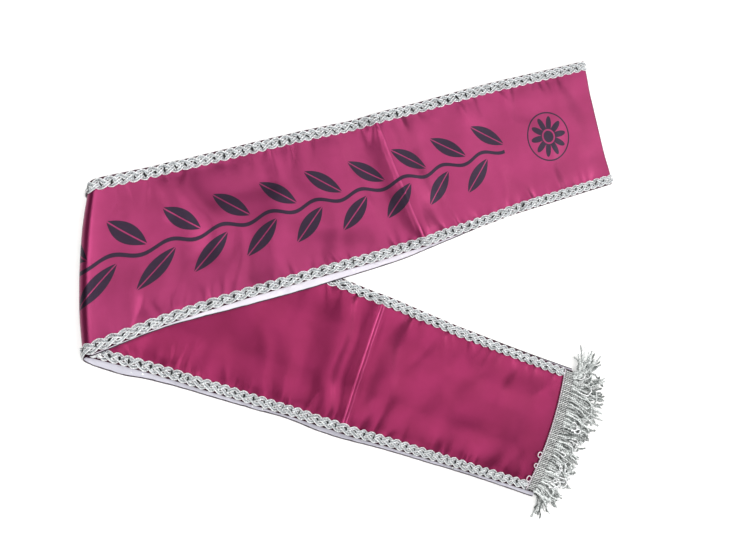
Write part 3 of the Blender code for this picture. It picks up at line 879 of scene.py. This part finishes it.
def satin_finish(name, deep, bright, is_printed, lines, start):
    """The magenta face of the satin: a smooth float with a soft pink gloss, painted highlights on the crests
    of its main creases and painted shade along its edges under the braid; start is where the highlights'
    distances begin.
    """
    finish = Finish(name, Metallic=0.68, Anisotropic=0.60, Specular_IOR_Level=0.35)
    finish.set(Sheen_Weight=0.05, Sheen_Roughness=0.4, Sheen_Tint=(1.0, 0.45, 0.75))
    finish.set(Tangent=finish.given("Tangent", direction_type="UV_MAP", uv_map="UVMap"))
    across, along = finish.uv()
    cloud = finish.noise(finish.vector(across, along), 42.0, 3.0)
    streak = finish.noise(finish.vector(across * 5.0, along), 90.0, 3.0)
    colour = finish.blend(cloud.between(0.3, 0.7), deep, bright)
    rough = streak.between(0.25, 0.75, 0.29, 0.33)
    middle = across - HALF
    # Painted highlights along the crests of the main creases
    for place, lean, half_width, most in lines:
        off = abs(along - (start + place * MM) - middle * lean)
        share = off.between(half_width * MM, 0.1 * MM, 0.0, most) * cloud.between(0.3, 0.6, 0.5, 1.0)
        colour = finish.blend(share, colour, CREASE_HIGHLIGHT_COLOUR)
    if is_printed:
        mask = ornament(across, along)
        colour = finish.blend(mask, colour, PRINT_COLOUR)
        rough = rough + mask * 0.1
    # Painted shade on the satin along its edges under the braid, which shows between the braid's lobes
    inward = HALF - abs(middle)
    colour = finish.blend(inward.between(5.2 * MM, 6.0 * MM), BRAID_EDGE_SHADE_COLOUR, colour)
    floats = along.sine(0.42 * MM) * finish.noise(finish.vector(across, along), 900.0)
    fine = finish.bump(floats, 0.02 * MM, 0.5)
    finish.set(Base_Color=colour, Roughness=rough, Normal=finish.bump(streak, 0.03 * MM, 0.2, Normal=fine))
    return finish.material


def lining_finish(name, deep, bright):
    """The white back of the satin, matt and slightly blue, with a narrow hem along both edges darkened as
    painted shadow.
    """
    finish = Finish(name, Specular_IOR_Level=0.25)
    across, along = finish.uv()
    cloud = finish.noise(finish.vector(across, along), 120.0, 3.0)
    # A narrow hem along both edges, darkened by painted shadow
    inward = HALF - abs(across - HALF)
    hem = (inward + cloud * (-0.8 * MM)).between(0.20 * MM, 0.45 * MM)
    finish.set(Base_Color=finish.blend(hem, SHADOWED_HEM_COLOUR, finish.blend(cloud, deep, bright)))
    weave = finish.bump(along.sine(0.5 * MM) * across.sine(0.5 * MM), 0.03 * MM, 0.6)
    finish.set(Roughness=cloud.between(0.2, 0.8, 0.5, 0.7), Normal=weave)
    return finish.material


def thread_finish(name, deep, bright, metallic, rough, winding, own_share):
    """Metal thread wound round a core: each cord has its own tone between a deep and a bright colour, and the
    winding glints. On some threads these colours hold painted shade or a painted highlight.
    """
    finish = Finish(name, Metallic=metallic)
    along, number = finish.uv()
    whole = number.math("FLOOR")
    own = finish.add("TexWhiteNoise", noise_dimensions="1D")
    finish.put(own.inputs["W"], whole)
    wave = (along / (winding * MM) + (number - whole)).sine(1.0)
    patch = finish.noise(finish.vector(along * 900.0, number * 7.0), 1.0)
    share = Signal(finish, own.outputs[0]) * own_share + patch * 0.6 + wave * 0.14
    finish.set(Base_Color=finish.blend(share, deep, bright), Normal=finish.bump(wave, 0.12 * MM, 0.7))
    finish.set(Roughness=patch.between(0.3, 0.7, rough - 0.1, rough + 0.12))
    return finish.material


def make_cloth(name, panel, satin, lining, *nodes):
    """A panel as one thin sheet: satin face, white back and cut edges."""
    s, across = panel.places(), np.linspace(-HALF, HALF, round(PANEL_WIDTH / CLOTH_CELL) + 1)
    rows, columns = np.meshgrid(s, across, indexing="ij")
    middle, ups = panel.over_face(rows, columns, 0.0)
    uv = np.stack((columns + HALF, rows), axis=-1)
    face, back = middle + ups * CLOTH_THICK / 2, middle - ups * CLOTH_THICK / 2
    flip = not panel.is_front
    strips = Strips()
    strips.add(face, uv, is_flipped=flip)
    strips.add(back, uv, is_flipped=not flip, slot=1)
    for end, first, second in ((0, back, face), (-1, face, back)):
        rim = np.stack((first[:, end], second[:, end]), axis=1)
        strips.add(rim, np.stack((uv[:, end], uv[:, end]), axis=1), is_flipped=flip)
        strips.add(np.stack((first[end], second[end])), np.stack((uv[end], uv[end])), is_flipped=flip)
    return strips.piece(name, (satin, lining), "satin", *nodes)


def plait(place, phase):
    """Sideways swing and rise of a plait's strand at places along it."""
    turn = 2 * math.pi * (place / PLAIT_PERIOD + phase)
    swing = PLAIT_SWING * (np.sin(turn) - PLAIT_POINT * np.sin(3 * turn)) / (1 + PLAIT_POINT)
    return swing, PLAIT_RISE * np.sin(2 * turn)


def add_cord(strips, panel, side, span, phase, offset, radius, cut, number, slot):
    """One cord of a plaited strand, at an offset from its middle; cut is its steps, sides and flatness."""
    steps, sides, flat = cut
    place = np.linspace(*span, max(2, round((span[1] - span[0]) / PLAIT_PERIOD * steps)))
    swing, rise = plait(place, phase)
    slope = np.gradient(swing, place)
    scale = offset / np.sqrt(1 + slope * slope)
    s = np.clip(place - slope * scale, *span)
    across = side * (BRAID_MIDDLE + swing + scale)
    points, ups = panel.over_face(s, across, BRAID_BASE + rise)
    radii = np.full(len(s), radius)
    radii[[0, -1]] = 0.1 * radius
    lobes = 2 * math.pi * place / CORD_TWIST + number if sides == CORD_SIDES else None
    strips.tube(points, ups, radii, sides, number, flat, lobes, slot)


def add_slits(strips, panel, side, span, generator):
    """Dark tubes as painted shade in the braid's middle openings, one in each inner lobe; they lie mostly
    across it.
    """
    lobes = np.arange(math.ceil(span[0] / LOBE_PITCH), math.floor(span[1] / LOBE_PITCH))
    reach = np.linspace(-0.5, 0.5, SLIT_STEPS)
    is_lengthwise = side > 0 and not panel.is_front
    turn = generator.normal(0.15 if is_lengthwise else 1.25, 0.3, (len(lobes), 1))
    length = generator.uniform(*SLIT_LENGTH, (len(lobes), 1))
    s = lobes[:, None] * LOBE_PITCH + SLIT_PLACE + np.cos(turn) * length * reach
    across = side * (BRAID_MIDDLE + SLIT_OFF + np.sin(turn) * length * reach)
    points, ups = panel.over_face(s, across, BRAID_BASE + SLIT_HEIGHT)
    for n in range(len(lobes)):
        radii = generator.uniform(*SLIT_RADIUS) * np.sqrt(1.02 - 4 * reach * reach)
        strips.tube(points[n], ups[n], radii, 6, 30 + n, 0.5, slot=HOLE_SHADE)


def make_braid(name, panel, side, finishes, seed, *nodes):
    """A length of braid from the shoulder to the tail: fine cords where it shows, plain ones elsewhere."""
    strips = Strips()
    generator = np.random.default_rng(seed)
    upper, lower = (0.3 * MM, panel.split), (panel.split - MM, panel.tail - HEADING_WIDTH - GAP)
    shown, hidden = (upper, lower) if panel.is_front else (lower, upper)
    for strand in range(3):
        phase = strand / 3
        for cord in range(PLAIT_CORDS):
            offset = (cord - (PLAIT_CORDS - 1) / 2) * CORD_SPACING
            number = strand * PLAIT_CORDS + cord
            # The outer cords of each strand take the near-white rim thread, a painted highlight on the lobes
            slot = RIM if cord in (0, PLAIT_CORDS - 1) else INNER
            radius = CORD_RADIUS * (1.12 if slot == RIM else 0.92)
            cut = (CORD_STEPS, CORD_SIDES, 1.0)
            add_cord(strips, panel, side, shown, phase, offset, radius, cut, number, slot)
        cut = (HIDDEN_STEPS, HIDDEN_SIDES, HIDDEN_FLAT)
        add_cord(strips, panel, side, hidden, phase, 0.0, HIDDEN_RADIUS, cut, 20 + strand, RIM)
    add_slits(strips, panel, side, shown, generator)
    return strips.piece(name, finishes, "braid", *nodes)


def tail_point(panel, share, out):
    """Points beyond the cut end of a tail, seen from above."""
    edge = panel.wall(panel.tail, np.asarray(share) * (HALF - TAIL_INSET))
    return edge[..., :2] + LOWER_ALONG * out


def skirt_path(start, heading, root, tip, length, curl, generator):
    """Points of one loose cord: it turns to its heading, bends on its own and sinks to its tip."""
    count = STRAND_RINGS
    u = np.arange(1, count + 1) / count
    bend, wiggle = generator.normal(0.0, 0.45), generator.uniform(0.05, 0.32)
    wave, phase = generator.uniform(6, 14) * MM, generator.uniform(0, 2 * math.pi)
    turn = heading * smooth(u * 2.4) + bend * (u - 0.3) * smooth(u * 2) + curl * smooth((u - 0.35) / 0.65)
    turn = turn + wiggle * np.sin(2 * math.pi * u * length / wave + phase) * smooth(u * 3)
    steps = np.cos(turn)[:, None] * LOWER_ALONG + np.sin(turn)[:, None] * LOWER_ACROSS
    xy = start + np.cumsum(steps * length / count, axis=0)
    hump = generator.uniform(-0.3, 1.3) * MM * np.sin(math.pi * u)
    ripple = 0.3 * MM * np.sin(2 * math.pi * u * length / wave * 1.3 + phase)
    z = np.maximum(root + (tip - root) * u**1.3 + hump + ripple * smooth(u * 3), 0.5 * MM)
    return np.column_stack((xy, z))


def add_strand(strips, path, radius, generator, number, sides=STRAND_SIDES, slot=PLAIN):
    """A twisted cord along a path, thinner at its ends."""
    radii = radius * (1 + 0.1 * generator.standard_normal()) * np.ones(len(path))
    radii[0] *= 0.3
    radii[-1] *= 0.3
    steps = np.concatenate(([0.0], np.cumsum(np.linalg.norm(np.diff(path, axis=0), axis=1))))
    lobes = 2 * math.pi * steps / STRAND_TWIST + generator.uniform(0, 6)
    ups = np.tile((0.0, 0.0, 1.0), (len(path), 1))
    strips.tube(path, ups, radii, sides, number, 0.8, lobes if sides > 4 else None, slot)


def corner_share(share):
    """0 in the middle of a fringe, and 1 at its corners."""
    return float(smooth((abs(share) - CORNER_START) / (1 - CORNER_START)))


def fringe_heading(share, generator):
    """Turn of a cord off the run's direction: neighbours lean together, and corners fan out."""
    corner = corner_share(share)
    sway = 0.22 * math.sin(8.0 * share + 1.3) + 0.16 * math.sin(19.0 * share + 0.4)
    fan = math.copysign(CORNER_FAN * corner, share) + SKIRT_LEAN * (1 - corner)
    return fan + sway * (1 - 0.7 * corner) + generator.normal(0.0, 0.15)


def add_heading(strips, panel, base, generator):
    """The heading's cords, side by side."""
    outs = np.linspace(-HEADING_WIDTH, 1.6 * MM, 5)[:, None]
    for n in range(HEADING_CORDS):
        straight = tail_point(panel, (2 * (n + 0.5) / HEADING_CORDS - 1) * CORD_SPREAD, outs)
        path = np.column_stack((straight, np.full(5, base + 0.55 * MM)))
        add_strand(strips, path, HEADING_RADIUS, generator, 300 + n, slot=WOVEN)


def add_heading_stitches(strips, panel, base):
    """Stitches across the heading, its dark bed of painted shade under the cords, and the coiled thread along
    its inner edge.
    """
    turns = np.linspace(0, HEADING_CORDS, HEADING_CORDS * 8 + 1)
    share = 2 * turns / HEADING_CORDS - 1
    for row, out in enumerate(STITCH_ROWS):
        wave = np.sin(2 * math.pi * turns / 2 + row)
        xy = tail_point(panel, share, out) + 0.3 * MM * wave[:, None] * LOWER_ALONG
        z = base + 1.0 * MM + 0.12 * MM * np.cos(2 * math.pi * turns)
        strips.thread(xy, z, STITCH_RADIUS, 5, 900 + row, WOVEN)
    # The dark tape under the heading's cords is painted shade
    outs = np.linspace(-HEADING_WIDTH, 1.5 * MM, 4)
    rows, columns = np.meshgrid(outs, np.linspace(-1, 1, 40), indexing="ij")
    tape = np.stack([tail_point(panel, columns[n], rows[n][:, None]) for n in range(4)])
    tape = np.concatenate((tape, np.full((*rows.shape, 1), base + 0.25 * MM)), axis=-1)
    strips.add(tape, np.stack((rows, columns), axis=-1), slot=BED_SHADE)
    coil = EDGE_COIL * np.sin(2 * math.pi * turns)
    xy = tail_point(panel, share, -HEADING_WIDTH - 0.1 * MM) + coil[:, None] * LOWER_ALONG
    z = base + 0.95 * MM + EDGE_COIL * np.cos(2 * math.pi * turns)
    strips.thread(xy, z, COIL_RADIUS, 6, 910, STITCH)


def add_loose_loops(strips, panel, base):
    """The loops of thread that came loose at the heading's inner edge."""
    angle = np.linspace(-2.7, 2.7, 28)
    arc = np.cos(angle)[:, None] * LOWER_ALONG + np.sin(angle)[:, None] * LOWER_ACROSS
    for n, (share, radius) in enumerate(LOOSE_LOOPS):
        middle = tail_point(panel, share, -HEADING_WIDTH - radius * MM)
        z = base + 1.0 * MM + 0.45 * MM * np.cos(angle)
        strips.thread(middle - radius * MM * arc, z, LOOP_RADIUS, 6, 920 + n, STITCH)


def add_layer(strips, panel, base, numbers, generator, number):
    """One layer of a fringe's loose cords; neighbours hang together in clumps."""
    layer = dict(zip(LAYER_COLUMNS, numbers))
    cords, root = layer["cords"], base + layer["root"] * MM
    length = SKIRT_LENGTH - layer["shorter"] * MM
    clumps = cords // CLUMP_CORDS + 1
    leans, reaches = generator.normal(0.0, CLUMP_LEAN, clumps), generator.uniform(*CLUMP_REACH, clumps)
    for n in range(cords):
        clump = n // CLUMP_CORDS
        share = (2 * (n + generator.uniform(0.2, 0.8)) / cords - 1) * CORD_SPREAD
        corner = corner_share(share)
        run = length * generator.uniform(0.86, 1.06) * (1 - CORNER_SHORTER * corner) * reaches[clump]
        run *= float(read(SKIRT_REACH, share * HALF))
        start = tail_point(panel, share, -0.3 * MM)
        curl = 0.0
        if generator.random() < CURL_SHARE:
            curl = generator.choice((-1, 1)) * generator.uniform(1.2, 3.4)
        tip = base + layer["tip"] * MM + generator.uniform(-0.9, 0.9) * MM
        heading = fringe_heading(share, generator) + leans[clump] * (1 - 0.6 * corner)
        path = skirt_path(start, heading, root, tip, run, curl, generator)
        add_strand(strips, path, layer["radius"] * MM, generator, number + n, slot=layer["finish"])


def add_tufts(strips, panel, base, generator):
    """The cords that stand out sideways at both corners."""
    for row in TUFTS:
        tuft = dict(zip(TUFT_COLUMNS, row))
        for n in range(tuft["count"]):
            share = tuft["side"] * generator.uniform(0.88, 1.0)
            heading = tuft["side"] * math.radians(generator.uniform(tuft["least_turn"], tuft["most_turn"]))
            length = generator.uniform(tuft["shortest"], tuft["longest"]) * MM
            curl = generator.normal(0.0, 0.7)
            tip = base + generator.uniform(-1.5, 2.6) * MM
            start = tail_point(panel, share, generator.uniform(-3.0, 1.0) * MM)
            path = skirt_path(start, heading, base + 1.0 * MM, tip, length, curl, generator)
            radius = STRAND_RADIUS * generator.uniform(0.45, 0.9)
            add_strand(strips, path, radius, generator, 600 + 50 * tuft["side"] + n)


def add_top_curls(strips, panel, base, generator):
    """Bright cords that lie curled on top of the skirt, in the near-white rim thread of painted highlight."""
    for n in range(TOP_CURLS):
        share = generator.uniform(-0.95, 0.95)
        start = tail_point(panel, share, generator.uniform(4, 13) * MM)
        heading = fringe_heading(share, generator) + generator.normal(0.0, 0.6)
        curl = generator.choice((-1, 1)) * generator.uniform(1.4, 4.4)
        root = base + generator.uniform(1.5, 2.3) * MM
        length = generator.uniform(11, 21) * MM
        path = skirt_path(start, heading, root, root - 0.9 * MM, length, curl, generator)
        add_strand(strips, path, 0.70 * STRAND_RADIUS, generator, 840 + n, slot=BRIGHT)


def add_frizz(strips, panel, base, generator):
    """Fine threads that came off the cords."""
    for n in range(FRIZZ_COUNT):
        share = generator.uniform(-1.0, 1.0)
        start = tail_point(panel, share, generator.uniform(0, 12) * MM)
        root = base + generator.uniform(0.4, 1.3) * MM
        heading = fringe_heading(share, generator) + generator.normal(0.0, 0.35)
        curl = generator.normal(0.0, 1.6)
        length = generator.uniform(9, 22) * MM
        tip = base + generator.uniform(-2, 1.6) * MM
        path = skirt_path(start, heading, root, tip, length, curl, generator)
        add_strand(strips, path[::2], FRIZZ_RADIUS, generator, 700 + n, sides=3)


def make_fringe(name, panel, layers, base, seed, finishes, is_on_top, node):
    """A fringe: a heading of straight cords and a skirt of loose, twisted ones."""
    generator = np.random.default_rng(seed)
    strips = Strips()
    for number, layer in enumerate(layers):
        add_layer(strips, panel, base, layer, generator, 100 * number)
    add_heading(strips, panel, base, generator)
    if is_on_top:
        add_heading_stitches(strips, panel, base)
        add_loose_loops(strips, panel, base)
        add_tufts(strips, panel, base, generator)
        add_top_curls(strips, panel, base, generator)
        add_frizz(strips, panel, base, generator)
    return strips.piece(name, finishes, "fringe", node)


def add_lamp(name, place, target, size, power):
    """A soft square light that looks at a point."""
    lamp = bpy.data.lights.new(name, "AREA")
    lamp.size = size
    lamp.energy = power
    lamp.color = LAMP_COLOUR
    made = bpy.data.objects.new(name, lamp)
    made.location = place
    made.rotation_euler = (Vector(target) - Vector(place)).to_track_quat("-Z", "Y").to_euler()
    bpy.context.scene.collection.objects.link(made)


def make_floor():
    """A plain pale floor under the sash."""
    finish = Finish("floor", Roughness=0.75, Emission_Color=(1.0, 1.0, 0.99), Emission_Strength=FLOOR_GLOW)
    cloud = finish.noise(finish.given("TexCoord", "Object"), 3.0)
    finish.set(Base_Color=finish.blend(cloud, (0.66, 0.66, 0.655), (0.69, 0.69, 0.685)))
    mesh = bpy.data.meshes.new("floor")
    corners = [(x * FLOOR_REACH, y * FLOOR_REACH, 0) for x, y in ((-1, -1), (1, -1), (1, 1), (-1, 1))]
    mesh.from_pydata(corners, [], [(0, 1, 2, 3)])
    mesh.materials.append(finish.material)
    floor = bpy.data.objects.new("floor", mesh)
    bpy.context.scene.collection.objects.link(floor)
    return floor


def make_camera():
    """The camera at the photograph's viewing angle."""
    data = bpy.data.cameras.new("camera")
    data.lens = CAMERA_LENS
    data.sensor_width = 36
    made = bpy.data.objects.new("camera", data)
    turned = Matrix((CAMERA_RIGHT, CAMERA_UP, CAMERA_BACK)).transposed().to_4x4()
    turned.translation = CAMERA_PLACE
    made.matrix_world = turned
    bpy.context.scene.collection.objects.link(made)
    bpy.context.scene.camera = made


def make_light():
    """Plain soft studio light: a large key lamp above, small ones at both sides, and the room's own light."""
    world = bpy.data.worlds.new("studio")
    bpy.context.scene.world = world
    world.use_nodes = True
    room = Nodes(world.node_tree)
    side, _, height = room.split(room.given("TexCoord", "Generated"))
    strength = height.between(0.20, 0.70, WALL_LIGHT, CEILING_LIGHT, "LINEAR")
    strength = strength * side.between(-0.65, -0.10, LEFT_SHARE, 1.0, "LINEAR")
    room.put(room.tree.nodes["Background"].inputs["Color"], (1.0, 1.0, 1.0))
    room.put(room.tree.nodes["Background"].inputs["Strength"], strength)
    for lamp in LAMPS:
        add_lamp(*lamp)
    bpy.context.scene.view_settings.view_transform = "Standard"


def build():
    """The whole sash."""
    front = Panel(True, (FRONT_UPPER_DRIFT, FRONT_LOWER_DRIFT), 31)
    back = Panel(False, (BACK_UPPER_DRIFT, BACK_LOWER_DRIFT), 57)

    printed = satin_finish("satin_front", (0.180, 0.0145, 0.064), (0.205, 0.0170, 0.075), True,
                           FRONT_CREASE_HIGHLIGHTS, front.roll_length - ROLL_RADIUS)
    # The tail's satin is the same cloth as the front's, painted darker and deeper as shade on the lower run
    plain = satin_finish("satin_tail_shaded", (0.166, 0.0070, 0.048), (0.190, 0.0090, 0.058), False,
                         BACK_CREASE_HIGHLIGHTS, back.turn_end)
    lining = lining_finish("satin_back", (0.62, 0.59, 0.66), (0.76, 0.73, 0.80))
    # The front panel's back: the same white back in a darker grey, as painted shade
    shaded = lining_finish("satin_back_shaded", (0.47, 0.47, 0.54), (0.60, 0.59, 0.66))
    threads = {row[0]: thread_finish(*row) for row in THREADS}
    gimp = [threads[name] for name in BRAID_FINISHES]
    cords = [threads[name] for name in FRINGE_FINISHES]

    front_cloth = make_cloth("front_cloth", front, printed, shaded, "front_panel_upper", "front_panel_lower")
    back_cloth = make_cloth("back_cloth", back, plain, lining, "back_panel_upper", "back_panel_lower")
    braids = {}
    for panel, owner in ((front, "front"), (back, "back")):
        for side, edge in ((1, "far"), (-1, "near")):
            nodes = [f"{owner}_braid_{edge}_{stretch}" for stretch in ("upper", "lower")]
            seed = 70 + 2 * len(braids)
            braids[owner, edge] = make_braid(f"{owner}_{edge}_plait", panel, side, gimp, seed, *nodes)

    top = float(back.floor_height(LOWER_LENGTH, HALF)) + CLOTH_THICK / 2
    back_fringe = make_fringe("back_fringe_cords", back, BACK_LAYERS, top, 5, cords, True, "back_fringe")
    front_fringe = make_fringe("front_fringe_cords", front, FRONT_LAYERS, 0, 8, cords, False, "front_fringe")

    floor = make_floor()
    make_light()
    make_camera()


build()
